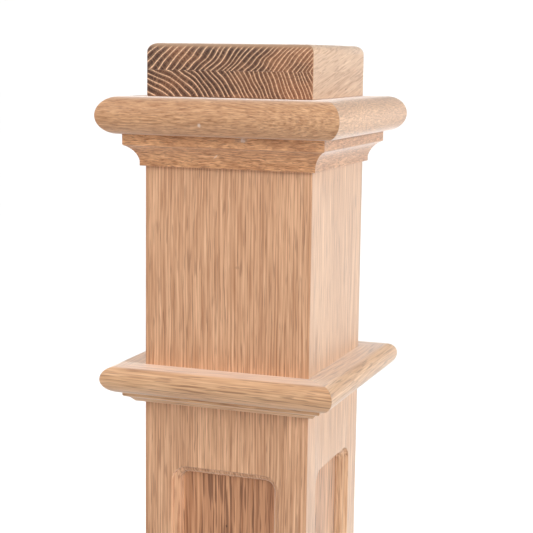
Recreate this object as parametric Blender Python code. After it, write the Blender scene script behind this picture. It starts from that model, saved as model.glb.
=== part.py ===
# Box newel post in unfinished red oak: a hollow mitred shaft with recessed panels,
# a collar and a moulded cap
# Metres, +Z up. The origin is at the middle of the foot, and the front face looks along -Y.

import math

import bmesh
import bpy
from mathutils import Matrix

INCH = 0.0254

# Whole post
POST_HEIGHT = 55 * INCH
GAP = 0.0003  # clearance between touching pieces
SIDES = ("front", "right", "back", "left")  # each a quarter turn on from the one before

# Shaft boards
SHAFT_WIDTH = 6.25 * INCH
BOARD_THICKNESS = 0.75 * INCH
ARRIS_EASE = 0.0012  # width taken off each face along the vertical arrises

# Cap block, two boards glued face to face
BLOCK_WIDTH = 0.1570
BLOCK_HEIGHT = 1.875 * INCH
BLOCK_ROUNDING = 0.0080  # radius along the four top edges

# Cap plate with a half-round edge
PLATE_WIDTH = 0.2272
PLATE_THICKNESS = 0.0335

# Cove moulding under the plate
COVE_WIDTH = 0.1903  # over its upper fillet
COVE_HEIGHT = 0.0288
COVE_FOOT_WIDTH = 0.1667  # over its lower fillet
COVE_UPPER_FILLET = 0.0098
COVE_LOWER_FILLET = 0.0044
COVE_RADIUS = 0.75 * INCH

# Collar
COLLAR_DROP = 0.1836  # plain shaft between the cove moulding and the collar
COLLAR_WIDTH = 0.2220
COLLAR_HEIGHT = 0.0340
COLLAR_NOSE_DROP = 0.0106  # from the flat top to the widest line, a quarter round
COLLAR_BELLY_DROP = 0.0146  # the flatter quarter below the widest line
COLLAR_BELLY_REACH = 0.0188
COLLAR_FILLET_WIDTH = 0.1906
COLLAR_FILLET_FOOT = 0.0059  # height of the fillet's lower edge over the collar's foot
COLLAR_CHAMFER = 0.0010  # along the fillet's lower edge
COLLAR_BEVEL_WIDTH = 0.1800  # over the bevel's upper edge
COLLAR_BEVEL_HEIGHT = 0.0040
COLLAR_FOOT_WIDTH = 0.1722

# Opening for the panel, with a moulded edge
OPENING_WIDTH = 0.1062
OPENING_TOP_MARGIN = 0.0590  # below the collar
OPENING_FOOT_MARGIN = 0.0590  # above the plinth
OPENING_CORNER = 0.625 * INCH
EDGE_EASE = 0.0008  # eased outer edge
EDGE_COVE_WIDTH = 0.0021
EDGE_COVE_DEPTH = 0.0029
EDGE_ROUND_WIDTH = 0.0039
EDGE_ROUND_DEPTH = 0.0062
EDGE_LIP = 0.0012  # small flat lip at the foot of the moulding
PANEL_DEPTH = 0.0111  # from the shaft's face to the panel's face
REBATE_WIDTH = 0.0090  # ledge behind the lip that the panel lies against

# Plinth
PLINTH_HEIGHT = 7.25 * INCH
PLINTH_THICKNESS = 0.75 * INCH
PLINTH_STEP = 0.0020
PLINTH_TOP_FILLET = 0.0044
PLINTH_TOP_REACH = 0.0040  # how far the top fillet stands out from the shaft
PLINTH_COVE_RISE = 0.0150

# Facets
ROUND_STEPS = 6  # in a quarter turn
CORNER_STEPS = 6
MOULDING_STEPS = 4
SMOOTH_UP_TO = 25  # degrees between facets that are shaded as one curve

# Heights and reaches worked out from the sizes above. A reach is a distance from the post's axis.
SHAFT_REACH = SHAFT_WIDTH / 2
SHAFT_INNER_REACH = SHAFT_REACH - BOARD_THICKNESS
PLATE_TOP = POST_HEIGHT - BLOCK_HEIGHT
PLATE_FOOT = PLATE_TOP - PLATE_THICKNESS
SHAFT_TOP = PLATE_FOOT - GAP
COVE_FOOT = PLATE_FOOT - COVE_HEIGHT
COLLAR_TOP = COVE_FOOT - COLLAR_DROP
COLLAR_FOOT = COLLAR_TOP - COLLAR_HEIGHT
OPENING_HIGH = COLLAR_FOOT - OPENING_TOP_MARGIN
OPENING_LOW = PLINTH_HEIGHT + OPENING_FOOT_MARGIN

# Colours of bare red oak, and the darker tone of its end grain
FACE_OAK = (0.62, 0.38, 0.24)
PANEL_OAK = (0.55, 0.32, 0.19)
END_GRAIN_OAK = (0.33, 0.18, 0.10)
SANDED = 0.62  # roughness of bare sanded wood


def clear_scene():
    for existing in list(bpy.data.objects):
        bpy.data.objects.remove(existing, do_unlink=True)


def oak(name, colour):
    material = bpy.data.materials.new(name)
    material.use_nodes = True
    shader = material.node_tree.nodes["Principled BSDF"]
    shader.inputs["Base Color"].default_value = (*colour, 1.0)
    shader.inputs["Roughness"].default_value = SANDED
    shader.inputs["Metallic"].default_value = 0.0
    return material


def add_piece(name, bm, material, quarter_turns=0):
    # Turns the mesh to its side of the post and gives it its own object
    bmesh.ops.recalc_face_normals(bm, faces=bm.faces)
    turn = Matrix.Rotation(quarter_turns * math.pi / 2, 4, "Z")
    mesh = bpy.data.meshes.new(name)
    bm.to_mesh(mesh)
    bm.free()
    mesh.materials.append(material)
    mesh.shade_smooth()
    mesh.set_sharp_from_angle(angle=math.radians(SMOOTH_UP_TO))
    piece = bpy.data.objects.new(name, mesh)
    piece.matrix_world = turn
    bpy.context.collection.objects.link(piece)
    return piece


def arc(centre, radii, start, end, steps):
    # Points on an ellipse's arc, in degrees, both ends included
    points = []
    for step in range(steps + 1):
        angle = math.radians(start + (end - start) * step / steps)
        points.append((centre[0] + radii[0] * math.cos(angle), centre[1] + radii[1] * math.sin(angle)))
    return points


def hollow_arc(start, end, radius, steps):
    # A cove from start to end that sinks towards the post, as an arc of the given radius
    middle = ((start[0] + end[0]) / 2, (start[1] + end[1]) / 2)
    run = (end[0] - start[0], end[1] - start[1])
    chord = math.hypot(*run)
    rise = math.sqrt(radius * radius - chord * chord / 4)
    away = 1 if run[1] < 0 else -1  # the centre lies on the outer side of the chord
    centre = (middle[0] - away * run[1] / chord * rise, middle[1] + away * run[0] / chord * rise)
    first = math.degrees(math.atan2(start[1] - centre[1], start[0] - centre[0]))
    last = math.degrees(math.atan2(end[1] - centre[1], end[0] - centre[0]))
    turn = (last - first + 180) % 360 - 180
    return arc(centre, (radius, radius), first, first + turn, steps)


def mitred_strip(profile):
    # Sweeps a closed profile of (reach, height) along the front side, with both ends cut at 45 degrees
    pull = GAP / 2 * math.sqrt(2)
    bm = bmesh.new()
    ends = []
    for hand in (-1, 1):
        ends.append([bm.verts.new((hand * (reach - pull), -reach, height)) for reach, height in profile])
    for index in range(len(profile)):
        after = (index + 1) % len(profile)
        bm.faces.new((ends[0][index], ends[0][after], ends[1][after], ends[1][index]))
    for end in ends:
        bm.faces.new(end)
    return bm


def stacked_squares(levels):
    # A solid with a square section, from (half width, height) levels
    bm = bmesh.new()
    loops = []
    for half, height in levels:
        corners = ((-half, -half), (half, -half), (half, half), (-half, half))
        loops.append([bm.verts.new((x, y, height)) for x, y in corners])
    for lower, upper in zip(loops, loops[1:]):
        for index in range(4):
            after = (index + 1) % 4
            bm.faces.new((lower[index], lower[after], upper[after], upper[index]))
    bm.faces.new(loops[0])
    bm.faces.new(loops[-1])
    return bm


def rounded_outline(inset):
    # The opening's outline drawn in by inset, as (across, height) points
    half = OPENING_WIDTH / 2 - inset
    low = OPENING_LOW + inset
    high = OPENING_HIGH - inset
    radius = OPENING_CORNER - inset
    centres = (
        ((half - radius, low + radius), -90),
        ((half - radius, high - radius), 0),
        ((radius - half, high - radius), 90),
        ((radius - half, low + radius), 180),
    )
    points = []
    for centre, start in centres:
        points += arc(centre, (radius, radius), start, start + 90, CORNER_STEPS)
    return points


def opening_edge():
    # The moulded edge as (inset, depth) points: eased arris, small cove, round, lip
    cove_start = (EDGE_EASE, EDGE_EASE)
    cove_end = (EDGE_EASE + EDGE_COVE_WIDTH, EDGE_EASE + EDGE_COVE_DEPTH)
    round_end = (cove_end[0] + EDGE_ROUND_WIDTH, cove_end[1] + EDGE_ROUND_DEPTH)
    lip_end = (round_end[0] + EDGE_LIP, round_end[1])
    points = [(0.0, 0.0)]
    cove = arc((cove_end[0], cove_start[1]), (EDGE_COVE_WIDTH, EDGE_COVE_DEPTH), 180, 90, MOULDING_STEPS)
    points += cove
    bead = arc((cove_end[0], round_end[1]), (EDGE_ROUND_WIDTH, EDGE_ROUND_DEPTH), -90, 0, MOULDING_STEPS)
    points += bead[1:]
    points.append(lip_end)
    return points


def fill_round_opening(bm, outline, loop):
    # Fills a flat face between its four corners and the opening's loop
    border = []
    for ring in (outline, loop):
        for index in range(len(ring)):
            pair = (ring[index], ring[(index + 1) % len(ring)])
            border.append(bm.edges.get(pair) or bm.edges.new(pair))
    bmesh.ops.triangle_fill(bm, edges=border, use_beauty=True)


def shaft_board():
    # A mitred board with the moulded opening cut through it and a rebate behind for the panel.
    # Its outer arrises are eased where they show, and left sharp behind the plinth, collar and cove.
    pull = GAP / 2 * math.sqrt(2)
    edge = opening_edge()
    lip = edge[-1][0]
    ledge = PANEL_DEPTH - GAP
    edge += [(lip, ledge), (lip - REBATE_WIDTH, ledge), (lip - REBATE_WIDTH, BOARD_THICKNESS)]
    bm = bmesh.new()
    loops = []
    for inset, depth in edge:
        outline = rounded_outline(inset)
        loops.append([bm.verts.new((x, depth - SHAFT_REACH, z)) for x, z in outline])
    for outer, inner in zip(loops, loops[1:]):
        for index in range(len(outer)):
            after = (index + 1) % len(outer)
            bm.faces.new((outer[index], outer[after], inner[after], inner[index]))
    # Points of the plan for each hand: sharp arris, eased face edge, eased mitre edge, inner corner
    eased_reach = SHAFT_REACH - ARRIS_EASE / 2
    plan = {
        "sharp": (SHAFT_REACH - pull, -SHAFT_REACH),
        "eased": (SHAFT_REACH - ARRIS_EASE, -SHAFT_REACH),
        "mitre": (eased_reach - pull, -eased_reach),
        "inner": (SHAFT_INNER_REACH - pull, -SHAFT_INNER_REACH),
    }
    levels = (0.0, PLINTH_HEIGHT, COLLAR_FOOT, COLLAR_TOP, COVE_FOOT, SHAFT_TOP)
    at = {}
    for name, (across, y) in plan.items():
        for level, z in enumerate(levels):
            between = 0 < level < len(levels) - 1
            if between or name in ("sharp", "inner"):
                for hand in (-1, 1):
                    at[name, hand, level] = bm.verts.new((hand * across, y, z))
    for stretch in range(len(levels) - 1):
        shows = stretch in (1, 3)
        rows = {"face": [], "back": [], "arris": {-1: [], 1: []}, "wall": {-1: [], 1: []}}
        for level in (stretch, stretch + 1):
            step = 0 < level < len(levels) - 1
            names = ["eased"] if shows else ["eased", "sharp"] if step else ["sharp"]
            left = [at[name, -1, level] for name in names]
            right = [at[name, 1, level] for name in names]
            rows["face"].append(left[::-1] + right)
            rows["back"].append([at["inner", -1, level], at["inner", 1, level]])
            for hand in (-1, 1):
                names = ["inner"] + (["mitre"] if step else []) + ([] if shows else ["sharp"])
                rows["wall"][hand].append([at[name, hand, level] for name in names])
                if shows:
                    rows["arris"][hand].append([at["mitre", hand, level], at["eased", hand, level]])
        for low, high in (rows["wall"][-1], rows["wall"][1]):
            bm.faces.new(low + high[::-1])
        if shows:
            for low, high in (rows["arris"][-1], rows["arris"][1]):
                bm.faces.new(low + high[::-1])
        for (low, high), loop in ((rows["face"], loops[0]), (rows["back"], loops[-1])):
            if stretch == 1:
                fill_round_opening(bm, low + high[::-1], loop)
            else:
                bm.faces.new(low + high[::-1])
    for level in range(1, len(levels) - 1):
        for hand in (-1, 1):
            bm.faces.new([at[name, hand, level] for name in ("eased", "sharp", "mitre")])
    for level in (0, len(levels) - 1):
        corners = (("sharp", -1), ("sharp", 1), ("inner", 1), ("inner", -1))
        bm.faces.new([at[name, hand, level] for name, hand in corners])
    return bm


def panel_board():
    # A thin board with rounded corners, lying in the rebate flush with the inside of the shaft
    outline = rounded_outline(opening_edge()[-1][0] - REBATE_WIDTH + GAP)
    bm = bmesh.new()
    front = [bm.verts.new((x, PANEL_DEPTH - SHAFT_REACH, z)) for x, z in outline]
    back = [bm.verts.new((x, -SHAFT_INNER_REACH, z)) for x, z in outline]
    for index in range(len(outline)):
        after = (index + 1) % len(outline)
        bm.faces.new((front[index], front[after], back[after], back[index]))
    bm.faces.new(front)
    bm.faces.new(back)
    return bm


def plate_profile():
    radius = PLATE_THICKNESS / 2
    nose = arc((PLATE_WIDTH / 2 - radius, PLATE_TOP - radius), (radius, radius), 90, -90, 2 * ROUND_STEPS)
    return [(SHAFT_INNER_REACH, PLATE_TOP)] + nose + [(SHAFT_INNER_REACH, PLATE_FOOT)]


def cove_profile():
    top = PLATE_FOOT - GAP
    inner = SHAFT_REACH + GAP
    upper = (COVE_WIDTH / 2, PLATE_FOOT - COVE_UPPER_FILLET)
    lower = (COVE_FOOT_WIDTH / 2, COVE_FOOT + COVE_LOWER_FILLET)
    hollow = hollow_arc(upper, lower, COVE_RADIUS, ROUND_STEPS)
    foot = [(COVE_FOOT_WIDTH / 2, COVE_FOOT), (inner, COVE_FOOT)]
    return [(inner, top), (COVE_WIDTH / 2, top)] + hollow + foot


def collar_profile():
    inner = SHAFT_REACH + GAP
    widest = COLLAR_WIDTH / 2
    nose_height = COLLAR_TOP - COLLAR_NOSE_DROP
    nose = arc((widest - COLLAR_NOSE_DROP, nose_height), (COLLAR_NOSE_DROP,) * 2, 90, 0, ROUND_STEPS)
    belly_centre = (widest - COLLAR_BELLY_REACH, nose_height)
    fillet = COLLAR_FILLET_WIDTH / 2
    belly_end = -math.degrees(math.acos((fillet - belly_centre[0]) / COLLAR_BELLY_REACH))
    belly = arc(belly_centre, (COLLAR_BELLY_REACH, COLLAR_BELLY_DROP), 0, belly_end, ROUND_STEPS)
    underside = [
        (fillet, COLLAR_FOOT + COLLAR_FILLET_FOOT),
        (fillet - COLLAR_CHAMFER, COLLAR_FOOT + COLLAR_FILLET_FOOT - COLLAR_CHAMFER),
        (COLLAR_BEVEL_WIDTH / 2, COLLAR_FOOT + COLLAR_BEVEL_HEIGHT),
        (COLLAR_FOOT_WIDTH / 2, COLLAR_FOOT),
        (inner, COLLAR_FOOT),
    ]
    return [(inner, COLLAR_TOP)] + nose + belly[1:] + underside


def plinth_profile():
    inner = SHAFT_REACH + GAP
    outer = inner + PLINTH_THICKNESS
    top = PLINTH_HEIGHT
    shoulder = top - PLINTH_TOP_FILLET - PLINTH_COVE_RISE
    start = (outer - PLINTH_STEP, shoulder)
    end = (SHAFT_REACH + PLINTH_TOP_REACH, top - PLINTH_TOP_FILLET)
    hollow = hollow_arc(end, start, COVE_RADIUS, ROUND_STEPS)
    return [(inner, top), (end[0], top)] + hollow + [(outer, shoulder), (outer, 0.0), (inner, 0.0)]


def build():
    clear_scene()
    shaft_oak = oak("shaft_oak", FACE_OAK)
    panel_oak = oak("panel_oak", PANEL_OAK)
    moulding_oak = oak("moulding_oak", FACE_OAK)
    block_oak = oak("block_oak", END_GRAIN_OAK)
    plate = plate_profile()
    cove = cove_profile()
    collar = collar_profile()
    plinth = plinth_profile()
    for turns, side in enumerate(SIDES):
        add_piece("shaft_" + side, shaft_board(), shaft_oak, turns)
        add_piece("panel_" + side, panel_board(), panel_oak, turns)
        add_piece("collar_" + side, mitred_strip(collar), moulding_oak, turns)
        add_piece("cap_cove_" + side, mitred_strip(cove), moulding_oak, turns)
        add_piece("cap_plate_" + side, mitred_strip(plate), moulding_oak, turns)
        add_piece("plinth_" + side, mitred_strip(plinth), moulding_oak, turns)
    half = BLOCK_WIDTH / 2
    seam = PLATE_TOP + BLOCK_HEIGHT / 2
    lower = [(half, PLATE_TOP + GAP), (half, seam - GAP / 2)]
    centre = (half - BLOCK_ROUNDING, POST_HEIGHT - BLOCK_ROUNDING)
    rounding = arc(centre, (BLOCK_ROUNDING,) * 2, 0, 90, ROUND_STEPS)
    add_piece("cap_block_lower_board", stacked_squares(lower), block_oak)
    add_piece("cap_block_upper_board", stacked_squares([(half, seam + GAP / 2)] + rounding), block_oak)


build()
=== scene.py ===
# Box newel post in bare red oak, dressed around its imported solids.
# Metres, +Z up, the front face towards -Y. Wood first, then the mitred mouldings, the shaft boards
# and panels, the cap block, and last the camera, the floor and the lights.
# A piece's tone is a factor on its wood colour, set per side: partly a board's own lighter or redder colour,
# partly painted light that makes a side lighter, darker or whiter for how the light falls on it.

import math

import bmesh
import bpy
from mathutils import Matrix, Vector


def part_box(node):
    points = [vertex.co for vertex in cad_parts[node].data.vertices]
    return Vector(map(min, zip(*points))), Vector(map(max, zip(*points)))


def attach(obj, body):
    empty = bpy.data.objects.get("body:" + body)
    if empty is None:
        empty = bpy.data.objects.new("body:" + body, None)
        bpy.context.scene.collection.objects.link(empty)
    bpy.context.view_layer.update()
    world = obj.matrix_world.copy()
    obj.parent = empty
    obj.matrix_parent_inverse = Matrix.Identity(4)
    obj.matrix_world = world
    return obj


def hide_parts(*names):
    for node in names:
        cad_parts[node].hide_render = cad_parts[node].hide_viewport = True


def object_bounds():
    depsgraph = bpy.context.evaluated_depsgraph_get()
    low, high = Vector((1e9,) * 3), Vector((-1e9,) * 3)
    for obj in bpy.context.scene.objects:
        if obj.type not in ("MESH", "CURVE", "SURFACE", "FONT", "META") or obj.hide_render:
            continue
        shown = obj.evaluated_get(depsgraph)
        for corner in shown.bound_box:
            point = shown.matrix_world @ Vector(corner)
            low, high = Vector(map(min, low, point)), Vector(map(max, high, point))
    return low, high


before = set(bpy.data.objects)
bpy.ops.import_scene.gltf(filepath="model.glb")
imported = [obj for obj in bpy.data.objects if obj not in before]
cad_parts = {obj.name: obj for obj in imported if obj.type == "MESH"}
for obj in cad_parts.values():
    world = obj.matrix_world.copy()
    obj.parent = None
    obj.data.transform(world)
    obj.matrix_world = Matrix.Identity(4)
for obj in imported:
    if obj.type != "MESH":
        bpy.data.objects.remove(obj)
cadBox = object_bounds()
print("frame loaded,", len(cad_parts), "solids")

sides = ("front", "right", "back", "left")  # each a quarter turn on from the one before
hairline = 0.00006  # joint line left between pieces that touch
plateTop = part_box("cap_plate_front")[1].z
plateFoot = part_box("cap_plate_front")[0].z
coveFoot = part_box("cap_cove_front")[0].z
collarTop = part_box("collar_front")[1].z
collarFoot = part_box("collar_front")[0].z
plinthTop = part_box("plinth_front")[1].z
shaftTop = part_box("shaft_front")[1].z
shaftReach = -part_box("shaft_front")[0].y  # from the post's middle to its faces
boardThickness = 0.01905
innerReach = shaftReach - boardThickness
smoothUpTo = 25  # degrees between faces that are shaded as one curve
broadFlat = 0.0004  # square metres from which a face counts as a broad flat
plainTone = (1.0, 1.0, 1.0)  # leaves the wood's colour as it is
putty = (0.80, 0.66, 0.57)


# Drawing helpers: points in millimetre-fine steps, as (reach or across, height)
def arcPoints(centre, radii, start, end, steps):
    # Points on an ellipse's arc in degrees, both ends included
    points = []
    for step in range(steps + 1):
        angle = math.radians(start + (end - start) * step / steps)
        points.append((centre[0] + radii[0] * math.cos(angle), centre[1] + radii[1] * math.sin(angle)))
    return points


def hollowArc(start, end, radius, steps):
    # A cove from an upper point to a lower one, sinking towards the post
    run = Vector(end) - Vector(start)
    rise = math.sqrt(radius * radius - run.length_squared / 4)
    centre = (Vector(start) + Vector(end)) / 2 + Vector((-run.y, run.x)).normalized() * rise
    first = math.degrees(math.atan2(start[1] - centre.y, start[0] - centre.x))
    last = math.degrees(math.atan2(end[1] - centre.y, end[0] - centre.x))
    turn = (last - first + 180) % 360 - 180
    return arcPoints(centre, (radius, radius), first, first + turn, steps)


def easedCorner(before, corner, after, radius, steps=3):
    # The corner rounded off on its way between its two neighbours
    corner = Vector(corner)
    start = corner + (Vector(before) - corner).normalized() * radius
    end = corner + (Vector(after) - corner).normalized() * radius
    points = []
    for step in range(steps + 1):
        t = step / steps
        points.append(tuple(start.lerp(corner, t).lerp(corner.lerp(end, t), t)))
    return points


def makePiece(name, mesh, material, tone=plainTone):
    # A plain piece at the origin, smooth over its curves; its tone shifts the wood's colour, partly as
    # painted light
    mesh.materials.clear()
    mesh.materials.append(material)
    values = list(tone) * len(mesh.vertices)
    mesh.attributes.new("tone", "FLOAT_VECTOR", "POINT").data.foreach_set("vector", values)
    mesh.shade_smooth()
    mesh.set_sharp_from_angle(angle=math.radians(smoothUpTo))
    piece = bpy.data.objects.new(name, mesh)
    bpy.context.collection.objects.link(piece)
    return piece


def handOver(piece, node):
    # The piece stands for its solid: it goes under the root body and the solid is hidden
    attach(piece, "root")
    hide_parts(node)


# Node helpers
def newNode(tree, kind, **settings):
    node = tree.nodes.new(kind)
    for key, value in settings.items():
        setattr(node, key, value)
    return node


def feed(tree, socket, value):
    # A socket takes another socket's output, or a plain value
    if isinstance(value, bpy.types.NodeSocket):
        tree.links.new(value, socket)
    else:
        socket.default_value = value


def maths(tree, operation, *values, clamp=False):
    node = newNode(tree, "ShaderNodeMath", operation=operation, use_clamp=clamp)
    for socket, value in zip(node.inputs, values):
        feed(tree, socket, value)
    return node.outputs[0]


def vectorMaths(tree, operation, *values):
    node = newNode(tree, "ShaderNodeVectorMath", operation=operation)
    for socket, value in zip(node.inputs, values):
        feed(tree, socket, value)
    return node.outputs["Value"] if operation in ("LENGTH", "DOT_PRODUCT") else node.outputs[0]


def noise(tree, vector, stretch, detail=2.0, roughness=0.5):
    # Grey noise over a stretched vector; stretch is in cycles per unit of the vector
    node = newNode(tree, "ShaderNodeTexNoise", noise_dimensions="3D")
    feed(tree, node.inputs["Vector"], vectorMaths(tree, "MULTIPLY", vector, stretch))
    node.inputs["Scale"].default_value = 1.0
    node.inputs["Detail"].default_value = detail
    node.inputs["Roughness"].default_value = roughness
    return node.outputs["Fac"]


def shiftBy(tree, vector, place, stretch, amount, detail=1.0):
    # The vector pushed about across the grain by coloured noise
    fac = noise(tree, place, stretch, detail)
    push = vectorMaths(tree, "SUBTRACT", fac.node.outputs["Color"], (0.5, 0.5, 0.5))
    return vectorMaths(tree, "MULTIPLY_ADD", push, (amount, amount, 0.0), vector)


def ramp(tree, value, *stops):
    # A grey ramp from (position, grey) stops
    node = newNode(tree, "ShaderNodeValToRGB")
    node.color_ramp.interpolation = "EASE"
    elements = node.color_ramp.elements
    while len(elements) < len(stops):
        elements.new(0.5)
    for element, (position, grey) in zip(elements, stops):
        element.position = position
        element.color = (grey, grey, grey, 1.0)
    feed(tree, node.inputs["Fac"], value)
    return node.outputs["Color"]


def mixColour(tree, factor, first, second):
    node = newNode(tree, "ShaderNodeMix", data_type="RGBA")
    feed(tree, node.inputs["Factor"], factor)
    for name, value in (("A", first), ("B", second)):
        socket = next(s for s in node.inputs if s.name == name and s.type == "RGBA")
        feed(tree, socket, (*value, 1.0) if isinstance(value, tuple) else value)
    return next(s for s in node.outputs if s.type == "RGBA")


def spread(tree, value, low, high, toLow=0.0, toHigh=1.0):
    # A smooth step from low to high
    node = newNode(tree, "ShaderNodeMapRange", interpolation_type="SMOOTHSTEP", clamp=True)
    for socket, number in zip(node.inputs, (value, low, high, toLow, toHigh)):
        feed(tree, socket, number)
    return node.outputs[0]


def growthRing(tree, radius, look):
    # Rings counted out from the pith, of uneven width and tighter outwards; gives the place within one ring
    share = maths(tree, "POWER", maths(tree, "DIVIDE", radius, look["ringAt"]), look["tighten"])
    ring = maths(tree, "MULTIPLY", share, look["ringAt"] / (look["tighten"] * look["ringPitch"]))
    uneven = newNode(tree, "ShaderNodeTexNoise", noise_dimensions="1D")
    uneven.inputs["Scale"].default_value = 0.4
    feed(tree, uneven.inputs["W"], ring)
    return maths(tree, "FRACT", maths(tree, "MULTIPLY_ADD", uneven.outputs["Fac"], look["ringUneven"], ring))


def tinted(tree, colour, value, strength):
    # The colour made lighter or darker round a value of one half; the darker, the redder
    swing = vectorMaths(tree, "SUBTRACT", value, (0.5, 0.5, 0.5))
    reach = tuple(strength * share for share in (0.8, 1.1, 1.35))
    factor = vectorMaths(tree, "MULTIPLY_ADD", swing, reach, plainTone)
    return vectorMaths(tree, "MULTIPLY", colour, factor)


# Red oak for every piece; each piece's own dictionary changes what differs.
# Lengths are millimetres, and a stretch is cycles per millimetre: across, across, along the grain.
redOak = {
    "late": (0.640, 0.370, 0.212),
    "early": (0.425, 0.205, 0.104),
    "pore": (0.190, 0.078, 0.036),
    "wander": 6.0,
    "ripple": 0.9,
    "rippleStretch": (0.12, 0.12, 0.03),
    "ringPitch": 3.0,
    "ringAt": 100.0,
    "tighten": 1.0,
    "ringUneven": 1.6,
    "ringDepth": 0.6,
    "streakStretch": (0.55, 0.55, 0.013),
    "streak": 1.5,
    "lineStretch": (0.8, 0.8, 0.035),
    "lineEdges": (0.56, 0.70),
    "lineDepth": 0.45,
    "poreStretch": (1.3, 1.3, 0.08),
    "poreEdges": (0.64, 0.80),
    "poreDepth": 0.6,
    "drift": 0.35,
    "bump": 0.35,
    "bumpDepth": 0.0002,
    "roughness": 0.5,
    "sheen": 0.6,
    "sheenRoughness": 0.4,
}


def makeOak(name, changes):
    # Oak as a solid: rings round a pith, streaks, dark lines and pores along the grain.
    # The "grain" attribute holds each point's place in its log: two across, the third along.
    look = {**redOak, **changes}
    material = bpy.data.materials.new(name)
    material.use_nodes = True
    tree = material.node_tree
    shader = tree.nodes["Principled BSDF"]
    grain = newNode(tree, "ShaderNodeAttribute", attribute_name="grain").outputs["Vector"]
    log = vectorMaths(tree, "MULTIPLY", grain, (1000.0, 1000.0, 1000.0))
    moved = shiftBy(tree, log, log, (0.018, 0.018, 0.005), look["wander"])
    moved = shiftBy(tree, moved, log, look["rippleStretch"], look["ripple"], 2.0)
    radius = vectorMaths(tree, "LENGTH", vectorMaths(tree, "MULTIPLY", moved, (1.0, 1.0, 0.0)))
    phase = growthRing(tree, radius, look)
    early = ramp(tree, phase, (0.0, 0.2), (0.08, 1.0), (0.3, 0.75), (0.48, 0.05), (0.94, 0.0), (1.0, 0.2))

    wood = mixColour(tree, maths(tree, "MULTIPLY", early, look["ringDepth"]), look["late"], look["early"])
    wood = tinted(tree, wood, noise(tree, moved, look["streakStretch"], 2.0, 0.6), look["streak"])
    wood = tinted(tree, wood, noise(tree, log, (0.025, 0.025, 0.004), 1.0), look["drift"])
    lines = noise(tree, moved, look["lineStretch"], 1.0)
    lines = spread(tree, lines, *look["lineEdges"], 0.0, look["lineDepth"])
    wood = mixColour(tree, lines, wood, look["pore"])
    pores = spread(tree, noise(tree, moved, look["poreStretch"], 3.0, 0.6), *look["poreEdges"])
    pores = maths(tree, "MULTIPLY", pores, maths(tree, "MULTIPLY_ADD", early, 0.6, 0.4), clamp=True)
    wood = mixColour(tree, maths(tree, "MULTIPLY", pores, look["poreDepth"]), wood, look["pore"])
    height = maths(tree, "MULTIPLY_ADD", early, -0.25, maths(tree, "MULTIPLY", pores, -0.75))
    if "end" in look:
        wood, height = addEndGrain(tree, look["end"], log, wood, height)
    # The tone carries a board's own colour and painted light on its side
    tone = newNode(tree, "ShaderNodeAttribute", attribute_name="tone").outputs["Vector"]
    wood = vectorMaths(tree, "MULTIPLY", wood, tone)
    if "arris" in look:
        wood = addArris(tree, look["arris"], wood)
    for mark in look.get("marks", ()):
        wood = addMark(tree, wood, mark)

    feed(tree, shader.inputs["Base Color"], wood)
    bump = newNode(tree, "ShaderNodeBump")
    bump.inputs["Strength"].default_value = look["bump"]
    bump.inputs["Distance"].default_value = look["bumpDepth"]
    feed(tree, bump.inputs["Height"], height)
    feed(tree, shader.inputs["Normal"], bump.outputs[0])
    shader.inputs["Roughness"].default_value = look["roughness"]
    shader.inputs["Sheen Weight"].default_value = look["sheen"]
    shader.inputs["Sheen Roughness"].default_value = look["sheenRoughness"]
    return material


def addEndGrain(tree, end, log, wood, height):
    # Sawn ends: pale ring lines on dark wood, crossed by fine rays
    moved = shiftBy(tree, log, log, end["wobbleStretch"], end["wobble"])
    radius = vectorMaths(tree, "LENGTH", vectorMaths(tree, "MULTIPLY", moved, (1.0, 1.0, 0.0)))
    phase = growthRing(tree, radius, end)
    line = ramp(tree, phase, (0.0, 0.2), (0.05, 1.0), (0.14, 1.0), (0.24, 0.1), (0.6, 0.0), (1.0, 0.2))
    parts = newNode(tree, "ShaderNodeSeparateXYZ")
    feed(tree, parts.inputs[0], moved)
    turned = newNode(tree, "ShaderNodeCombineXYZ")
    angle = maths(tree, "ARCTAN2", parts.outputs["Y"], parts.outputs["X"])
    feed(tree, turned.inputs["X"], maths(tree, "MULTIPLY", angle, end["rayCount"]))
    feed(tree, turned.inputs["Y"], maths(tree, "MULTIPLY", radius, end["rayStretch"]))
    rays = spread(tree, noise(tree, turned.outputs[0], (1.0, 1.0, 1.0), 2.0, 0.6), *end["rayEdges"])
    grit = spread(tree, noise(tree, log, end["gritStretch"], 1.0), *end["gritEdges"])
    line = maths(tree, "MULTIPLY", line, maths(tree, "MULTIPLY_ADD", grit, 0.5, 0.55), clamp=True)
    patch = noise(tree, log, end["patchStretch"], 1.0)
    lighter = spread(tree, parts.outputs["X"], *end["lighter"], 0.0, 0.35)
    patch = spread(tree, maths(tree, "ADD", patch, lighter), *end["patchEdges"])
    base = mixColour(tree, patch, end["dark"], end["brown"])
    base = tinted(tree, base, noise(tree, log, (0.7, 0.7, 0.2), 2.0), 2.2)
    base = mixColour(tree, maths(tree, "MULTIPLY", rays, end["rayDepth"]), base, end["ray"])
    cut = mixColour(tree, line, base, end["line"])
    normal = newNode(tree, "ShaderNodeNewGeometry").outputs["Normal"]
    facing = maths(tree, "ABSOLUTE", vectorMaths(tree, "DOT_PRODUCT", normal, (0.0, 1.0, 0.0)))
    cut = mixColour(tree, spread(tree, facing, 0.55, 0.97), end["hazy"], cut)
    facing = spread(tree, facing, 0.2, 0.5)
    wood = mixColour(tree, facing, wood, cut)
    # Ring lines stand a little proud of the softer wood
    relief = maths(tree, "MULTIPLY", maths(tree, "MULTIPLY", line, 0.4), facing)
    height = maths(tree, "MULTIPLY_ADD", height, maths(tree, "SUBTRACT", 1.0, facing), relief)
    return wood, height


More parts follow.
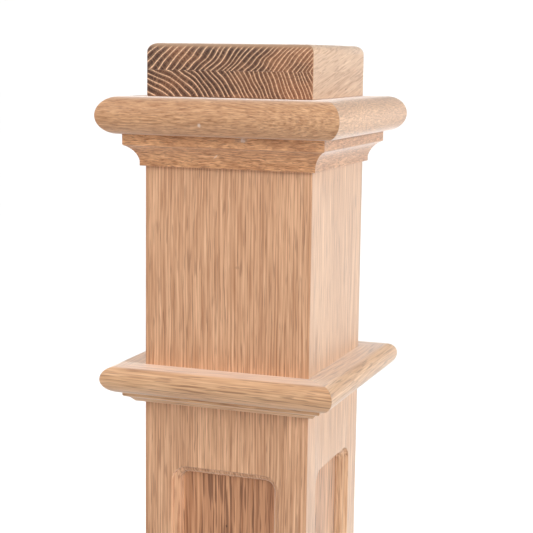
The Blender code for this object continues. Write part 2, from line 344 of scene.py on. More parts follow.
def addArris(tree, arris, wood):
    # The long corners darken towards orange
    place = newNode(tree, "ShaderNodeTexCoord").outputs["Object"]
    parts = newNode(tree, "ShaderNodeSeparateXYZ")
    feed(tree, parts.inputs[0], vectorMaths(tree, "ABSOLUTE", place))
    nearest = maths(tree, "MINIMUM", parts.outputs["X"], parts.outputs["Y"])
    uneven = noise(tree, place, (60.0, 60.0, 14.0), 2.0)
    nearest = maths(tree, "MULTIPLY_ADD", uneven, 0.002, nearest)
    band = spread(tree, nearest, shaftReach - arris["width"], shaftReach, 0.0, arris["strength"])
    return mixColour(tree, band, wood, arris["tone"])


def addMark(tree, wood, mark):
    # A filled nail hole, a pin knot or a stain, at its place on the post
    place = newNode(tree, "ShaderNodeTexCoord").outputs["Object"]
    rough = noise(tree, place, (700.0, 700.0, 700.0), 1.0)
    away = vectorMaths(tree, "SUBTRACT", place, mark["at"])
    if "lean" in mark:
        # A leaning stroke: height is measured from the stroke's own line
        parts = newNode(tree, "ShaderNodeSeparateXYZ")
        feed(tree, parts.inputs[0], away)
        leaned = newNode(tree, "ShaderNodeCombineXYZ")
        height = maths(tree, "MULTIPLY_ADD", parts.outputs["X"], -mark["lean"], parts.outputs["Z"])
        feed(tree, leaned.inputs["X"], parts.outputs["X"])
        feed(tree, leaned.inputs["Z"], height)
        away = leaned.outputs[0]
    distance = vectorMaths(tree, "LENGTH", vectorMaths(tree, "MULTIPLY", away, mark["narrow"]))
    distance = maths(tree, "MULTIPLY_ADD", rough, mark["size"], distance)
    mask = spread(tree, distance, mark["size"] * 0.75, mark["size"] * 1.35, mark["strength"], 0.0)
    return mixColour(tree, mask, wood, mark["tone"])


# The mouldings: each strip is a profile swept along one side of the post and mitred at both ends
def mouldingNodes():
    # The profile comes in as a closed wire drawn as (reach, 0, height)
    tree = bpy.data.node_groups.new("mitredMoulding", "GeometryNodeTree")
    tree.is_modifier = True
    face = tree.interface
    face.new_socket("Geometry", in_out="OUTPUT", socket_type="NodeSocketGeometry")
    face.new_socket("Geometry", in_out="INPUT", socket_type="NodeSocketGeometry")
    for name, kind, value in (
        ("Quarter Turns", "NodeSocketFloat", 0.0),
        ("Mitre Gap", "NodeSocketFloat", hairline),
        ("Steps Along", "NodeSocketInt", 64),
        ("Pith Reach", "NodeSocketFloat", 0.0),
        ("Pith Height", "NodeSocketFloat", 0.0),
        ("Grain Slope", "NodeSocketFloat", 0.0),
        ("Grain Climb", "NodeSocketFloat", 0.0),
        ("Grain Shift", "NodeSocketFloat", 0.0),
        ("Swell At", "NodeSocketFloat", 0.0),
        ("Swell Size", "NodeSocketFloat", 0.0),
        ("Swell Length", "NodeSocketFloat", 0.03),
    ):
        face.new_socket(name, in_out="INPUT", socket_type=kind).default_value = value
    face.new_socket("Material", in_out="INPUT", socket_type="NodeSocketMaterial")
    inside = newNode(tree, "NodeGroupInput").outputs
    link = tree.links.new

    profile = newNode(tree, "GeometryNodeMeshToCurve")
    link(inside["Geometry"], profile.inputs["Mesh"])
    path = newNode(tree, "GeometryNodeCurvePrimitiveLine")
    path.inputs["Start"].default_value = (-1.0, 0.0, 0.0)
    path.inputs["End"].default_value = (1.0, 0.0, 0.0)
    steps = newNode(tree, "GeometryNodeResampleCurve")
    link(path.outputs["Curve"], steps.inputs["Curve"])
    link(inside["Steps Along"], steps.inputs["Count"])
    # The profile and the path each remember where their points were
    kept = []
    for curve in (profile.outputs["Curve"], steps.outputs["Curve"]):
        capture = newNode(tree, "GeometryNodeCaptureAttribute", domain="POINT")
        capture.capture_items.new("VECTOR", "Place")
        link(curve, capture.inputs["Geometry"])
        link(newNode(tree, "GeometryNodeInputPosition").outputs[0], capture.inputs["Place"])
        kept.append(capture)
    sweep = newNode(tree, "GeometryNodeCurveToMesh")
    link(kept[1].outputs["Geometry"], sweep.inputs["Curve"])
    link(kept[0].outputs["Geometry"], sweep.inputs["Profile Curve"])
    sweep.inputs["Fill Caps"].default_value = True

    across = newNode(tree, "ShaderNodeSeparateXYZ")
    link(kept[0].outputs["Place"], across.inputs[0])
    along = newNode(tree, "ShaderNodeSeparateXYZ")
    link(kept[1].outputs["Place"], along.inputs[0])
    reach, height, share = across.outputs["X"], across.outputs["Z"], along.outputs["X"]
    x = maths(tree, "MULTIPLY", share, maths(tree, "SUBTRACT", reach, inside["Mitre Gap"]))
    spot = newNode(tree, "ShaderNodeCombineXYZ")
    link(x, spot.inputs["X"])
    link(maths(tree, "MULTIPLY", reach, -1.0), spot.inputs["Y"])
    link(height, spot.inputs["Z"])
    turn = newNode(tree, "ShaderNodeVectorRotate", rotation_type="Z_AXIS")
    link(spot.outputs[0], turn.inputs["Vector"])
    link(maths(tree, "MULTIPLY", inside["Quarter Turns"], math.pi / 2), turn.inputs["Angle"])

    # Place in the log: out and up from the pith, with a slope, a climb and one swell along the strip
    off = maths(tree, "DIVIDE", maths(tree, "SUBTRACT", x, inside["Swell At"]), inside["Swell Length"])
    swell = maths(tree, "EXPONENT", maths(tree, "MULTIPLY", maths(tree, "MULTIPLY", off, off), -1.0))
    depth = maths(tree, "SUBTRACT", reach, inside["Pith Reach"])
    depth = maths(tree, "MULTIPLY_ADD", x, inside["Grain Slope"], depth)
    depth = maths(tree, "MULTIPLY_ADD", swell, inside["Swell Size"], depth)
    level = maths(tree, "SUBTRACT", height, inside["Pith Height"])
    level = maths(tree, "MULTIPLY_ADD", x, inside["Grain Climb"], level)
    grain = newNode(tree, "ShaderNodeCombineXYZ")
    link(depth, grain.inputs["X"])
    link(level, grain.inputs["Y"])
    link(maths(tree, "ADD", x, inside["Grain Shift"]), grain.inputs["Z"])

    note = newNode(tree, "GeometryNodeStoreNamedAttribute", data_type="FLOAT_VECTOR", domain="POINT")
    link(sweep.outputs["Mesh"], note.inputs["Geometry"])
    note.inputs["Name"].default_value = "grain"
    link(grain.outputs[0], note.inputs["Value"])
    place = newNode(tree, "GeometryNodeSetPosition")
    link(note.outputs["Geometry"], place.inputs["Geometry"])
    link(turn.outputs["Vector"], place.inputs["Position"])
    realize = newNode(tree, "GeometryNodeRealizeInstances")
    link(place.outputs["Geometry"], realize.inputs["Geometry"])
    finish = newNode(tree, "GeometryNodeSetMaterial")
    link(realize.outputs["Geometry"], finish.inputs["Geometry"])
    link(inside["Material"], finish.inputs["Material"])
    link(finish.outputs["Geometry"], newNode(tree, "NodeGroupOutput").inputs["Geometry"])
    return tree


def runMoulding(name, profile, settings, material, tone):
    # One strip: the profile as a closed wire, the node tree over it, and the result as a plain mesh
    wire = bpy.data.meshes.new(name + "_profile")
    count = len(profile)
    wire.from_pydata([(r, 0.0, z) for r, z in profile], [(i, (i + 1) % count) for i in range(count)], [])
    holder = bpy.data.objects.new(name + "_profile", wire)
    bpy.context.collection.objects.link(holder)
    modifier = holder.modifiers.new("mitredMoulding", "NODES")
    modifier.node_group = mouldingTree
    items = mouldingTree.interface.items_tree
    sockets = {item.name: item.identifier for item in items if item.in_out == "INPUT"}
    for key, value in {**settings, "Material": material}.items():
        modifier[sockets[key]] = value
    bpy.context.view_layer.update()
    evaluated = holder.evaluated_get(bpy.context.evaluated_depsgraph_get())
    mesh = bpy.data.meshes.new_from_object(evaluated)
    holder.modifiers.remove(modifier)
    bpy.data.objects.remove(holder)
    mesh.name = name
    bm = bmesh.new()
    bm.from_mesh(mesh)
    bmesh.ops.recalc_face_normals(bm, faces=bm.faces)
    bm.to_mesh(mesh)
    bm.free()
    return makePiece(name, mesh, material, tone)


mouldingTree = mouldingNodes()


def makeStrips(name, node, profile, strip):
    # Four strips round the post; each tuple in the strip's cut runs front, right, back, left
    material = makeOak(name + "Oak", strip["oak"])
    for turns, side in enumerate(sides):
        settings = {key: float(values[turns]) for key, values in strip["cut"].items()}
        settings["Quarter Turns"] = float(turns)
        settings["Grain Shift"] = strip["logShift"] + strip["logStep"] * turns
        # The side's tone, partly painted light
        tone = strip["sideTonesAndLight"].get(side, plainTone)
        piece = runMoulding(name + side.title(), profile, settings, material, tone)
        handOver(piece, node + "_" + side)
    print(name, "strips ready")


# Cap plate: a full bullnose
plate = {
    "reach": -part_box("cap_plate_front")[0].y,
    "noseSteps": 40,
    "logShift": 0.0,
    "logStep": 0.73,
    # Partly painted light: the front a little redder and the right side a little darker and warmer for how
    # the light falls on each, besides the strips' own colour
    "sideTonesAndLight": {"front": (1.01, 0.97, 0.94), "right": (0.97, 0.96, 0.91)},
    "cut": {
        "Pith Reach": (0.020, 0.010, 0.000, -0.030),
        "Pith Height": (1.334, 1.335, 1.320, 1.340),
        "Grain Slope": (-0.012, 0.02, 0.05, -0.04),
        "Grain Climb": (0.015, 0.01, 0.0, 0.01),
        "Swell At": (0.130, 0.004, 0.0, -0.02),
        "Swell Size": (-0.0150, 0.0120, 0.004, 0.003),
        "Swell Length": (0.070, 0.055, 0.04, 0.05),
    },
    "oak": {
        "late": (0.590, 0.335, 0.178),
        "early": (0.420, 0.210, 0.098),
        "ringPitch": 1.9,
        "ringDepth": 0.32,
        "rippleStretch": (0.1, 0.1, 0.06),
        "ripple": 0.8,
        "streakStretch": (0.75, 0.75, 0.08),
        "streak": 1.6,
        "lineStretch": (0.95, 0.95, 0.15),
        "lineEdges": (0.54, 0.68),
        "lineDepth": 0.42,
        "poreStretch": (1.3, 1.3, 0.2),
        "marks": (
            {
                "at": (-0.0134, -0.1124, 1.3264),
                "narrow": (1.0, 0.5, 1.0),
                "size": 0.0026,
                "tone": putty,
                "strength": 0.7,
            },
            {
                "at": (-0.0160, -0.1118, 1.3290),
                "narrow": (1.0, 0.5, 1.5),
                "size": 0.0055,
                "tone": (0.42, 0.20, 0.10),
                "strength": 0.3,
            },
        ),
    },
}


def plateProfile():
    radius = (plateTop - plateFoot) / 2
    centre = (plate["reach"] - radius, plateTop - radius)
    nose = arcPoints(centre, (radius, radius), 90, -90, plate["noseSteps"])
    return [(innerReach, plateTop)] + nose + [(innerReach, plateFoot)]


makeStrips("capPlate", "cap_plate", plateProfile(), plate)

# Cove under the plate
cove = {
    "reach": -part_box("cap_cove_front")[0].y,
    "footReach": 0.08335,
    "upperFillet": 0.0098,
    "lowerFillet": 0.0044,
    "radius": 0.01905,
    "upperEase": 0.0011,
    "lowerEase": 0.0005,
    "steps": 20,
    "logShift": 2.9,
    "logStep": 0.73,
    # Partly painted shade and light: the front lighter and redder, the right side darker in shade, besides
    # the strips' own colour
    "sideTonesAndLight": {"front": (1.10, 1.00, 0.92), "right": (0.89, 0.81, 0.71)},
    "cut": {
        "Pith Reach": (-0.010, 0.000, 0.010, -0.020),
        "Pith Height": (1.300, 1.290, 1.310, 1.300),
        "Grain Slope": (0.03, -0.02, 0.0, 0.03),
    },
    "oak": {
        "late": (0.590, 0.330, 0.172),
        "early": (0.420, 0.205, 0.095),
        "ringPitch": 2.6,
        "ripple": 2.4,
        "rippleStretch": (0.10, 0.10, 0.08),
        "streakStretch": (0.75, 0.75, 0.09),
        "streak": 2.0,
        "lineStretch": (0.90, 0.90, 0.17),
        "lineEdges": (0.53, 0.68),
        "lineDepth": 0.55,
        "poreStretch": (1.2, 1.2, 0.2),
        "marks": (
            {
                "at": (0.0190, -0.0951, 1.3140),
                "narrow": (0.35, 0.3, 1.0),
                "size": 0.0042,
                "tone": (0.26, 0.17, 0.14),
                "strength": 0.4,
            },
            {
                "at": (0.0206, -0.0951, 1.3135),
                "narrow": (0.8, 0.3, 1.0),
                "size": 0.0030,
                "tone": putty,
                "strength": 0.6,
            },
            {
                "at": (-0.0086, -0.0857, 1.2977),
                "narrow": (1.0, 1.0, 3.2),
                "lean": 0.72,
                "size": 0.0034,
                "tone": putty,
                "strength": 0.55,
            },
        ),
    },
}


def coveProfile():
    top, inner, shelf = plateFoot - hairline, shaftReach + hairline, (cove["footReach"], coveFoot)
    upper = (cove["reach"], plateFoot - cove["upperFillet"])
    lower = (cove["footReach"], coveFoot + cove["lowerFillet"])
    hollow = hollowArc(upper, lower, cove["radius"], cove["steps"])
    turn = easedCorner((cove["reach"], top), upper, hollow[3], cove["upperEase"], 5)
    toe = easedCorner(lower, shelf, (inner, coveFoot), cove["lowerEase"])
    return [(inner, top), (cove["reach"], top)] + turn + hollow[2:] + toe + [(inner, coveFoot)]


makeStrips("capCove", "cap_cove", coveProfile(), cove)

# Collar: a heavy nose over two small fillets
collar = {
    "reach": -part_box("collar_front")[0].y,
    "noseDrop": 0.0106,
    "bellyDrop": 0.0146,
    "bellyReach": 0.0188,
    "filletReach": 0.0953,
    "filletFoot": 0.0059,
    "bevelReach": 0.0900,
    "bevelTop": 0.0040,
    "footReach": 0.0861,
    "filletEase": 0.0012,
    "footEase": 0.0006,
    "steps": 24,
    "logShift": 6.1,
    "logStep": 0.73,
    # Partly painted light: the front lighter and the right side a little warmer for how the light falls,
    # besides the strips' own colour
    "sideTonesAndLight": {"front": (1.06, 1.03, 1.02), "right": (1.0, 1.0, 0.96)},
    "cut": {
        "Pith Reach": (0.060, 0.050, 0.040, 0.050),
        "Pith Height": (0.980, 1.000, 0.980, 0.990),
        "Grain Slope": (0.03, -0.02, 0.02, 0.01),
        "Grain Climb": (0.02, -0.01, 0.01, 0.0),
    },
    "oak": {
        "late": (0.625, 0.380, 0.210),
        "early": (0.420, 0.215, 0.102),
        "ringPitch": 3.4,
        "ringDepth": 0.45,
        "streakStretch": (0.65, 0.65, 0.015),
        "streak": 1.2,
        "lineStretch": (0.75, 0.75, 0.03),
        "lineEdges": (0.55, 0.68),
        "lineDepth": 0.55,
        "poreStretch": (1.1, 1.1, 0.06),
    },
}


def collarProfile():
    inner = shaftReach + hairline
    noseHeight = collarTop - collar["noseDrop"]
    drop = collar["noseDrop"]
    nose = arcPoints((collar["reach"] - drop, noseHeight), (drop, drop), 90, 0, collar["steps"])
    middle = (collar["reach"] - collar["bellyReach"], noseHeight)
    end = -math.degrees(math.acos((collar["filletReach"] - middle[0]) / collar["bellyReach"]))
    belly = arcPoints(middle, (collar["bellyReach"], collar["bellyDrop"]), 0, end, collar["steps"])
    filletFoot = (collar["filletReach"], collarFoot + collar["filletFoot"])
    bevelTop = (collar["bevelReach"], collarFoot + collar["bevelTop"])
    foot = (collar["footReach"], collarFoot)
    points = [(inner, collarTop)] + nose + belly[1:]
    points += easedCorner(belly[-1], filletFoot, bevelTop, collar["filletEase"], 4)
    points += easedCorner(filletFoot, bevelTop, foot, collar["footEase"])
    points += easedCorner(bevelTop, foot, (inner, collarFoot), collar["footEase"])
    return points + [(inner, collarFoot)]


makeStrips("collar", "collar", collarProfile(), collar)

# Plinth: a plain board with a stepped cove along its top
plinth = {
    "reach": -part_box("plinth_front")[0].y,
    "step": 0.0020,
    "topFillet": 0.0044,
    "topReach": 0.0040,
    "coveRise": 0.0150,
    "radius": 0.01905,
    "ease": 0.0008,
    "steps": 16,
    "logShift": 9.4,
    "logStep": 0.73,
    "sideTonesAndLight": {},
    "cut": {
        "Pith Reach": (-0.030, -0.040, -0.020, -0.030),
        "Pith Height": (0.060, 0.120, 0.080, 0.040),
        "Grain Slope": (0.03, -0.04, 0.02, -0.03),
        "Grain Climb": (0.01, 0.0, -0.01, 0.01),
        "Swell At": (0.03, -0.02, 0.0, 0.02),
        "Swell Size": (0.004, 0.006, 0.003, 0.005),
        "Swell Length": (0.05, 0.06, 0.05, 0.04),
    },
    "oak": {"ringPitch": 4.0, "streak": 0.9, "poreStretch": (1.0, 1.0, 0.06)},
}


def plinthProfile():
    inner, outer = shaftReach + hairline, plinth["reach"]
    shoulder = (outer, plinthTop - plinth["topFillet"] - plinth["coveRise"])
    end = (shaftReach + plinth["topReach"], plinthTop - plinth["topFillet"])
    hollow = hollowArc((outer - plinth["step"], shoulder[1]), end, plinth["radius"], plinth["steps"])[::-1]
    points = [(inner, plinthTop)]
    points += easedCorner((inner, plinthTop), (end[0], plinthTop), end, plinth["ease"])
    points += hollow
    points += easedCorner(hollow[-1], shoulder, (outer, 0.0), plinth["ease"])
    points += easedCorner(shoulder, (outer, 0.0), (inner, 0.0), plinth["ease"])
    return points + [(inner, 0.0)]


makeStrips("plinth", "plinth", plinthProfile(), plinth)

# Shaft: four mitred boards, each with a round-cornered opening over a recessed panel
opening = {
    "half": 0.0531,
    "margin": 0.0590,  # to the collar above and to the plinth below
    "corner": 0.015875,
    "cornerSteps": 14,
    "ease": 0.0008,
    "coveSize": (0.0021, 0.0029),
    "roundSize": (0.0039, 0.0062),
    "lip": 0.0012,
    "panelDepth": 0.0111,
    "rebate": 0.0090,
    "mouldSteps": 8,
}
shaft = {
    "ease": 0.0011,  # rounding of the long arrises
    "easeSteps": 3,
    "logShift": 3.1,
    "logStep": 1.9,
    # Pith of each board across and behind its face, front, right, back, left
    "pithAcross": (-0.30, 0.26, -0.24, 0.28),
    "pithBehind": (0.16, 0.10, 0.05, 0.12),
    "slope": (0.004, -0.003, 0.002, -0.002),
    # Partly painted light: the front lighter, the right side whiter for a painted sheen of glancing light,
    # besides the boards' own colour
    "sideTonesAndLight": {"front": (1.06, 1.04, 1.04), "right": (1.01, 1.08, 1.12)},
    "oak": {
        "ringPitch": 2.6,
        "arris": {"width": 0.0026, "strength": 0.45, "tone": (0.42, 0.19, 0.085)},
        "marks": (
            {
                "at": (0.0104, -0.0794, 1.1989),
                "narrow": (0.6, 1.0, 1.0),
                "size": 0.0022,
                "tone": (0.36, 0.19, 0.10),
                "strength": 0.45,
            },
            {
                "at": (0.0794, -0.0028, 1.2746),
                "narrow": (1.0, 0.6, 0.35),
                "size": 0.0012,
                "tone": (0.36, 0.20, 0.10),
                "strength": 0.6,
            },
        ),
    },
}
panel = {
    "logShift": 7.7,
    "logStep": 1.9,
    "pithAcross": (0.05, -0.12, 0.07, -0.05),
    "pithBehind": (0.02, 0.05, 0.03, 0.04),
    "slope": (0.006, -0.005, 0.004, 0.003),
    # Partly painted light: the front lighter and redder, the right side lighter and whiter for a painted
    # sheen of glancing light, besides the boards' own colour
    "sideTonesAndLight": {"front": (1.07, 1.00, 0.93), "right": (1.10, 1.15, 1.12)},
    "oak": {
        "late": (0.545, 0.285, 0.155),
        "early": (0.370, 0.168, 0.083),
        "ringPitch": 7.5,
        "streak": 1.6,
        "streakStretch": (0.42, 0.42, 0.012),
        "lineStretch": (0.48, 0.48, 0.020),
        "lineEdges": (0.55, 0.65),
        "lineDepth": 0.80,
        "poreStretch": (0.9, 0.9, 0.05),
        "poreDepth": 0.8,
        "marks": (
            {
                "at": (-0.0017, -0.0683, 0.9539),
                "narrow": (1.0, 1.0, 0.45),
                "size": 0.0013,
                "tone": (0.09, 0.035, 0.018),
                "strength": 0.9,
            },
        ),
    },
}


def openingOutline(inset):
    # The opening's rounded outline drawn in by inset, as (across, height) points
    half = opening["half"] - inset
    low, high = plinthTop + opening["margin"] + inset, collarFoot - opening["margin"] - inset
    radius = opening["corner"] - inset
    points = []
    for across, height, start in (
        (half - radius, low + radius, -90),
        (half - radius, high - radius, 0),
        (radius - half, high - radius, 90),
        (radius - half, low + radius, 180),
    ):
        points += arcPoints((across, height), (radius, radius), start, start + 90, opening["cornerSteps"])
    return points


def openingEdge():
    # The moulded edge as (inset, depth) points: rounded arris, small cove, round, lip
    ease, steps = opening["ease"], opening["mouldSteps"]
    coveWide, coveDeep = opening["coveSize"]
    roundWide, roundDeep = opening["roundSize"]
    coveEnd = (ease + coveWide, ease + coveDeep)
    roundEnd = (coveEnd[0] + roundWide, coveEnd[1] + roundDeep)
    points = arcPoints((0.0, ease), (ease, ease), -90, 0, 4)
    points += arcPoints((coveEnd[0], ease), (coveWide, coveDeep), 180, 90, steps)[1:]
    points += arcPoints((coveEnd[0], roundEnd[1]), (roundWide, roundDeep), -90, 0, steps)[1:]
    points.append((roundEnd[0] + opening["lip"], roundEnd[1]))
    return points


def bridge(bm, outer, inner):
    # Faces between two closed loops of as many points
    for index in range(len(outer)):
        after = (index + 1) % len(outer)
        bm.faces.new((outer[index], outer[after], inner[after], inner[index]))


def fillAround(bm, outline, loop):
    # The flat face between a board's outline and the loop of its opening
    border = []
    for ring in (outline, loop):
        for index, vertex in enumerate(ring):
            pair = (vertex, ring[(index + 1) % len(ring)])
            border.append(bm.edges.get(pair) or bm.edges.new(pair))
    bmesh.ops.triangle_fill(bm, edges=border, use_beauty=True)


def shaftBoard():
    # A mitred board with rounded arrises and the moulded opening, drawn at the front
    bm = bmesh.new()
    edge = openingEdge()
    lip, ledge = edge[-1][0], opening["panelDepth"] - hairline
    edge += [(lip, ledge), (lip - opening["rebate"], ledge), (lip - opening["rebate"], boardThickness)]
    loops = []
    for inset, depth in edge:
        loops.append([bm.verts.new((x, depth - shaftReach, z)) for x, z in openingOutline(inset)])
    for outer, inner in zip(loops, loops[1:]):
        bridge(bm, outer, inner)
    # Half of the board's plan, from the face round the arris to the mitre and the back
    ease, steps = shaft["ease"], shaft["easeSteps"]
    arris = arcPoints((shaftReach - ease, ease - shaftReach), (ease, ease), -90, -45, steps)
    plan = [(x - hairline * step / steps, y) for step, (x, y) in enumerate(arris)]
    plan.append((innerReach - hairline, -innerReach))
    foot, top = [], []
    for ring, z in ((foot, 0.0), (top, shaftTop)):
        ring += [bm.verts.new((x, y, z)) for x, y in plan]
        ring += [bm.verts.new((-x, y, z)) for x, y in reversed(plan)]
    back = len(plan) - 1
    for index in range(len(foot) - 1):
        if index != back:
            bm.faces.new((foot[index], foot[index + 1], top[index + 1], top[index]))
    bm.faces.new(foot)
    bm.faces.new(top)
    fillAround(bm, (foot[-1], foot[0], top[0], top[-1]), loops[0])
    fillAround(bm, (foot[back], foot[back + 1], top[back + 1], top[back]), loops[-1])
    return bm


def panelBoard():
    # The panel sits in the rebate behind the opening
    outline = openingOutline(openingEdge()[-1][0] - opening["rebate"] + hairline)
    bm = bmesh.new()
    front = [bm.verts.new((x, opening["panelDepth"] - shaftReach, z)) for x, z in outline]
    back = [bm.verts.new((x, -innerReach, z)) for x, z in outline]
    bridge(bm, front, back)
    bm.faces.new(front)
    bm.faces.new(back)
    return bm


def keepFlatsFlat(mesh):
    # Edges round a broad flat face are sharp, so its shading stays even
    broad = [polygon for polygon in mesh.polygons if polygon.area > broadFlat]
    keys = {key for polygon in broad for key in polygon.edge_keys}
    sharp = mesh.attributes.get("sharp_edge") or mesh.attributes.new("sharp_edge", "BOOLEAN", "EDGE")
    for edge in mesh.edges:
        if edge.key in keys:
            sharp.data[edge.index].value = True


def makeBoards(name, node, build, board):
    # Four upright boards, each turned to its side and told where it lay in its log
    material = makeOak(name + "Oak", board["oak"])
    for turns, side in enumerate(sides):
        bm = build()
        bmesh.ops.recalc_face_normals(bm, faces=bm.faces)
        mesh = bpy.data.meshes.new(name + side.title())
        bm.to_mesh(mesh)
        bm.free()
        values = []
        for vertex in mesh.vertices:
            across = vertex.co.x - board["pithAcross"][turns] + board["slope"][turns] * vertex.co.z
            behind = vertex.co.y + shaftReach - board["pithBehind"][turns]
            values += (across, behind, vertex.co.z + board["logShift"] + board["logStep"] * turns)
        mesh.attributes.new("grain", "FLOAT_VECTOR", "POINT").data.foreach_set("vector", values)
        mesh.transform(Matrix.Rotation(turns * math.pi / 2, 4, "Z"))
        # The side's tone, partly painted light
        piece = makePiece(mesh.name, mesh, material, board["sideTonesAndLight"].get(side, plainTone))
        keepFlatsFlat(mesh)
        handOver(piece, node + "_" + side)
    print(name, "boards ready")


makeBoards("shaft", "shaft", shaftBoard, shaft)
makeBoards("panel", "panel", panelBoard, panel)

# Cap block: two boards glued face to face, end grain to the front, rounded over at the top
block = {
    "half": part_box("cap_block_lower_board")[1].x,
    "seam": (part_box("cap_block_lower_board")[1].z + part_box("cap_block_upper_board")[0].z) / 2,
    "ease": 0.0010,  # upright arrises
    "footEase": 0.0007,
    "topRounding": 0.0080,
    "topSteps": 12,
    "cornerSteps": 4,
    "cornerGrowth": 0.15,  # share of the top rounding that the upright arrises widen by
    "climb": 0.20,  # rise of the grain towards the back
}
blockSides = {
    "late": (0.630, 0.427, 0.280),
    "early": (0.550, 0.338, 0.205),
    "pore": (0.34, 0.17, 0.09),
    "ringPitch": 3.5,
    "ringDepth": 0.4,
    "streakStretch": (0.55, 0.55, 0.03),
    "streak": 0.9,
    "lineStretch": (0.55, 0.55, 0.05),
    "lineEdges": (0.52, 0.66),
    "lineDepth": 0.5,
    "poreStretch": (1.1, 1.1, 0.10),
    "roughness": 0.6,
    "sheen": 0.4,
}
blockEnd = {
    "ringUneven": 0.7,
    "rayStretch": 0.07,
    "rayEdges": (0.5, 0.66),
    "rayDepth": 0.35,
    "gritStretch": (1.1, 1.1, 0.3),
    "gritEdges": (0.35, 0.62),
    "patchStretch": (0.03, 0.045, 0.01),
    "patchEdges": (0.4, 0.9),
    "dark": (0.060, 0.018, 0.007),
    "brown": (0.255, 0.098, 0.041),
    "ray": (0.46, 0.225, 0.115),
    "line": (0.95, 0.60, 0.37),
    "hazy": (0.42, 0.245, 0.140),
}
# Pith across and up from the plate's top, so that the rings meet in a herringbone at the seam
lowerBoard = {
    "pith": (-0.0994, -0.058),
    "logShift": 0.30,
    "oak": {
        "end": {
            **blockEnd,
            "ringPitch": 4.4,
            "ringAt": 100.0,
            "tighten": 1.55,
            "wobble": 6.0,
            "wobbleStretch": (0.040, 0.040, 0.01),
            "rayCount": 80.0,
            "lighter": (90.0, 190.0),
        },
        "marks": (
            {
                "at": (0.0785, 0.0199, 1.3570),
                "narrow": (1.0, 0.45, 1.0),
                "size": 0.0011,
                "tone": (0.16, 0.08, 0.05),
                "strength": 0.8,
            },
        ),
    },
}
upperBoard = {
    "pith": (-0.600, 0.592),
    "logShift": 5.20,
    "oak": {
        "end": {
            **blockEnd,
            "ringPitch": 5.2,
            "ringAt": 780.0,
            "tighten": 5.5,
            "wobble": 9.0,
            "wobbleStretch": (0.022, 0.050, 0.01),
            "rayCount": 480.0,
            "lighter": (620.0, 690.0),
        },
        "marks": (
            {
                "at": (0.0785, 0.0490, 1.3712),
                "narrow": (1.0, 0.4, 0.8),
                "size": 0.0050,
                "tone": (0.74, 0.42, 0.27),
                "strength": 0.3,
            },
        ),
    },
}


def blockBoard(name, node, board, levels):
    # A stack of rounded squares, given as (height, inset, corner radius)
    bm = bmesh.new()
    rings = []
    for z, inset, radius in levels:
        half = block["half"] - inset - radius
        ring = []
        for x, y, start in ((half, -half, -90), (half, half, 0), (-half, half, 90), (-half, -half, 180)):
            corner = arcPoints((x, y), (radius, radius), start, start + 90, block["cornerSteps"])
            ring += [bm.verts.new((*point, z)) for point in corner]
        rings.append(ring)
    for lower, upper in zip(rings, rings[1:]):
        bridge(bm, lower, upper)
    bm.faces.new(rings[0])
    bm.faces.new(rings[-1])
    bmesh.ops.recalc_face_normals(bm, faces=bm.faces)
    mesh = bpy.data.meshes.new(name)
    bm.to_mesh(mesh)
    bm.free()
    values = []
    for vertex in mesh.vertices:
        x, y, z = vertex.co
        climbed = z - plateTop - board["pith"][1] - block["climb"] * (y + block["half"])
        values += (x - board["pith"][0], climbed, y + board["logShift"])
    mesh.attributes.new("grain", "FLOAT_VECTOR", "POINT").data.foreach_set("vector", values)
    piece = makePiece(name, mesh, makeOak(name + "Oak", {**blockSides, **board["oak"]}))
    keepFlatsFlat(mesh)
    handOver(piece, node)


foot, ease = plateTop + hairline, block["ease"]
levels = [(foot, block["footEase"], ease), (foot + block["footEase"], 0.0, ease)]
levels.append((block["seam"] - hairline / 2, 0.0, ease))
blockBoard("capBlockLowerBoard", "cap_block_lower_board", lowerBoard, levels)
levels = [(block["seam"] + hairline / 2, 0.0, ease)]
rounding = block["topRounding"]
for drop, rise in arcPoints((rounding, -rounding), (rounding, rounding), 180, 90, block["topSteps"]):
    levels.append((cadBox[1][2] + rise, drop, ease + block["cornerGrowth"] * drop))
blockBoard("capBlockUpperBoard", "cap_block_upper_board", upperBoard, levels)
print("cap block ready")

# Camera at the photograph's viewing angle, found from the post's own edges
view = {
    "location": (0.455566, -1.240675, plateTop + 0.03858),
    "turnLeft": 19.758,
    "lookDown": 8.570,
    "lean": 0.768,
    "lens": 95.056,
}
camera = bpy.data.objects.new("camera", bpy.data.cameras.new("camera"))
camera.data.lens = view["lens"]
camera.data.sensor_width = 36.0
camera.matrix_world = (
    Matrix.Translation(view["location"])
    @ Matrix.Rotation(math.radians(view["turnLeft"]), 4, "Z")
    @ Matrix.Rotation(math.radians(90.0 - view["lookDown"]), 4, "X")
    @ Matrix.Rotation(math.radians(view["lean"]), 4, "Z")
)
bpy.context.collection.objects.link(camera)
bpy.context.scene.camera = camera

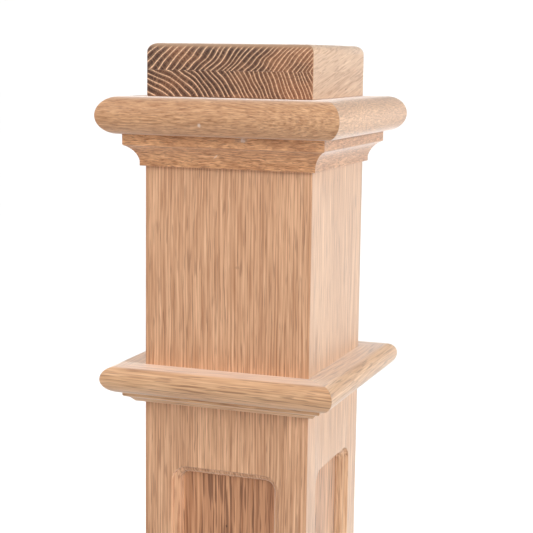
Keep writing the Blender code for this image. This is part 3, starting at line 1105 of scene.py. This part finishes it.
# Studio: a white paper sweep, a strong light from the right with a rim behind it, soft fills
# from the front, two lights from the left, a weak top light, and two lights on the paper alone
studio = {
    "floorHalf": 14.0,
    "sweepStart": 4.5,
    "sweepRadius": 1.6,
    "wallHeight": 5.0,
    "paper": 0.86,
    "ambient": 0.1,
}
lights = {
    # azimuth from the front, elevation, distance, size, watts, colour, aim
    "keyRight": (80.0, 20.0, 3.0, (1.0, 1.0), 73.0, (1.0, 1.0, 1.0), (0.0, 0.0, 1.15)),
    "rimRight": (150.0, 0.0, 3.0, (1.0, 2.0), 12.0, (1.0, 1.0, 1.0), (0.0, 0.0, 1.15)),
    "fillHigh": (15.0, 35.0, 3.0, (1.0, 1.0), 26.0, (1.0, 1.0, 1.0), (0.0, 0.0, 1.1)),
    "fillLow": (5.0, 8.0, 3.0, (1.0, 1.0), 19.0, (1.0, 1.0, 1.0), (0.0, 0.0, 1.1)),
    "nearLeft": (-60.0, 30.0, 1.2, (0.4, 0.4), 4.0, (1.0, 1.0, 1.0), (0.0, 0.0, 1.3)),
    "sideLeft": (-85.0, 20.0, 3.0, (1.0, 1.0), 29.0, (1.0, 1.0, 1.0), (0.0, 0.0, 1.15)),
    "overhead": (0.0, 89.0, 2.3, (2.0, 2.0), 5.0, (1.0, 1.0, 1.0), (0.0, 0.0, 1.15)),
    "paperLeft": (-45.0, 30.0, 4.2, (1.5, 1.5), 108.0, (1.0, 1.0, 1.0), (-1.6, 5.0, 0.5)),
    "paperRight": (35.0, 30.0, 4.2, (1.5, 1.5), 108.0, (1.0, 1.0, 1.0), (-1.6, 5.0, 0.5)),
}


def makeFloor():
    # Floor and wall in one curved sheet
    radius = studio["sweepRadius"]
    rows = [(-studio["floorHalf"], 0.0), (-2.0, 0.0), (0.0, 0.0), (2.0, 0.0)]
    rows += arcPoints((studio["sweepStart"], radius), (radius, radius), -90, 0, 24)
    rows.append((rows[-1][0], studio["wallHeight"]))
    bm = bmesh.new()
    lines = [[bm.verts.new((side * studio["floorHalf"], y, z)) for side in (-1, 1)] for y, z in rows]
    for near, far in zip(lines, lines[1:]):
        bm.faces.new((near[0], near[1], far[1], far[0]))
    mesh = bpy.data.meshes.new("studioFloor")
    bm.to_mesh(mesh)
    bm.free()
    material = bpy.data.materials.new("studioPaper")
    material.use_nodes = True
    tree = material.node_tree
    shader = tree.nodes["Principled BSDF"]
    mottle = noise(tree, newNode(tree, "ShaderNodeTexCoord").outputs["Object"], (3.0, 3.0, 3.0), 3.0)
    grey = newNode(tree, "ShaderNodeCombineColor")
    for socket in grey.inputs:
        feed(tree, socket, maths(tree, "MULTIPLY_ADD", mottle, 0.02, studio["paper"] - 0.01))
    feed(tree, shader.inputs["Base Color"], grey.outputs[0])
    shader.inputs["Roughness"].default_value = 0.9
    makePiece("studioFloor", mesh, material)


def addLight(name, azimuth, elevation, distance, size, watts, colour, aim):
    # An area light on a sphere round its aim; azimuth 0 is in front of the post, 90 to its right
    lamp = bpy.data.lights.new(name, "AREA")
    lamp.shape = "RECTANGLE"
    lamp.size, lamp.size_y = size
    lamp.energy = watts
    lamp.color = colour
    turn, rise = math.radians(azimuth), math.radians(elevation)
    away = Vector((math.sin(turn) * math.cos(rise), -math.cos(turn) * math.cos(rise), math.sin(rise)))
    light = bpy.data.objects.new(name, lamp)
    turned = away.to_track_quat("Z", "Y").to_matrix().to_4x4()
    light.matrix_world = Matrix.Translation(Vector(aim) + away * distance) @ turned
    bpy.context.collection.objects.link(light)


makeFloor()
for name, settings in lights.items():
    addLight(name, *settings)
world = bpy.data.worlds.new("studio")
bpy.context.scene.world = world
world.use_nodes = True
world.node_tree.nodes["Background"].inputs["Color"].default_value = (1.0, 1.0, 1.0, 1.0)
world.node_tree.nodes["Background"].inputs["Strength"].default_value = studio["ambient"]
bpy.context.scene.view_settings.view_transform = "Standard"
print("studio ready")
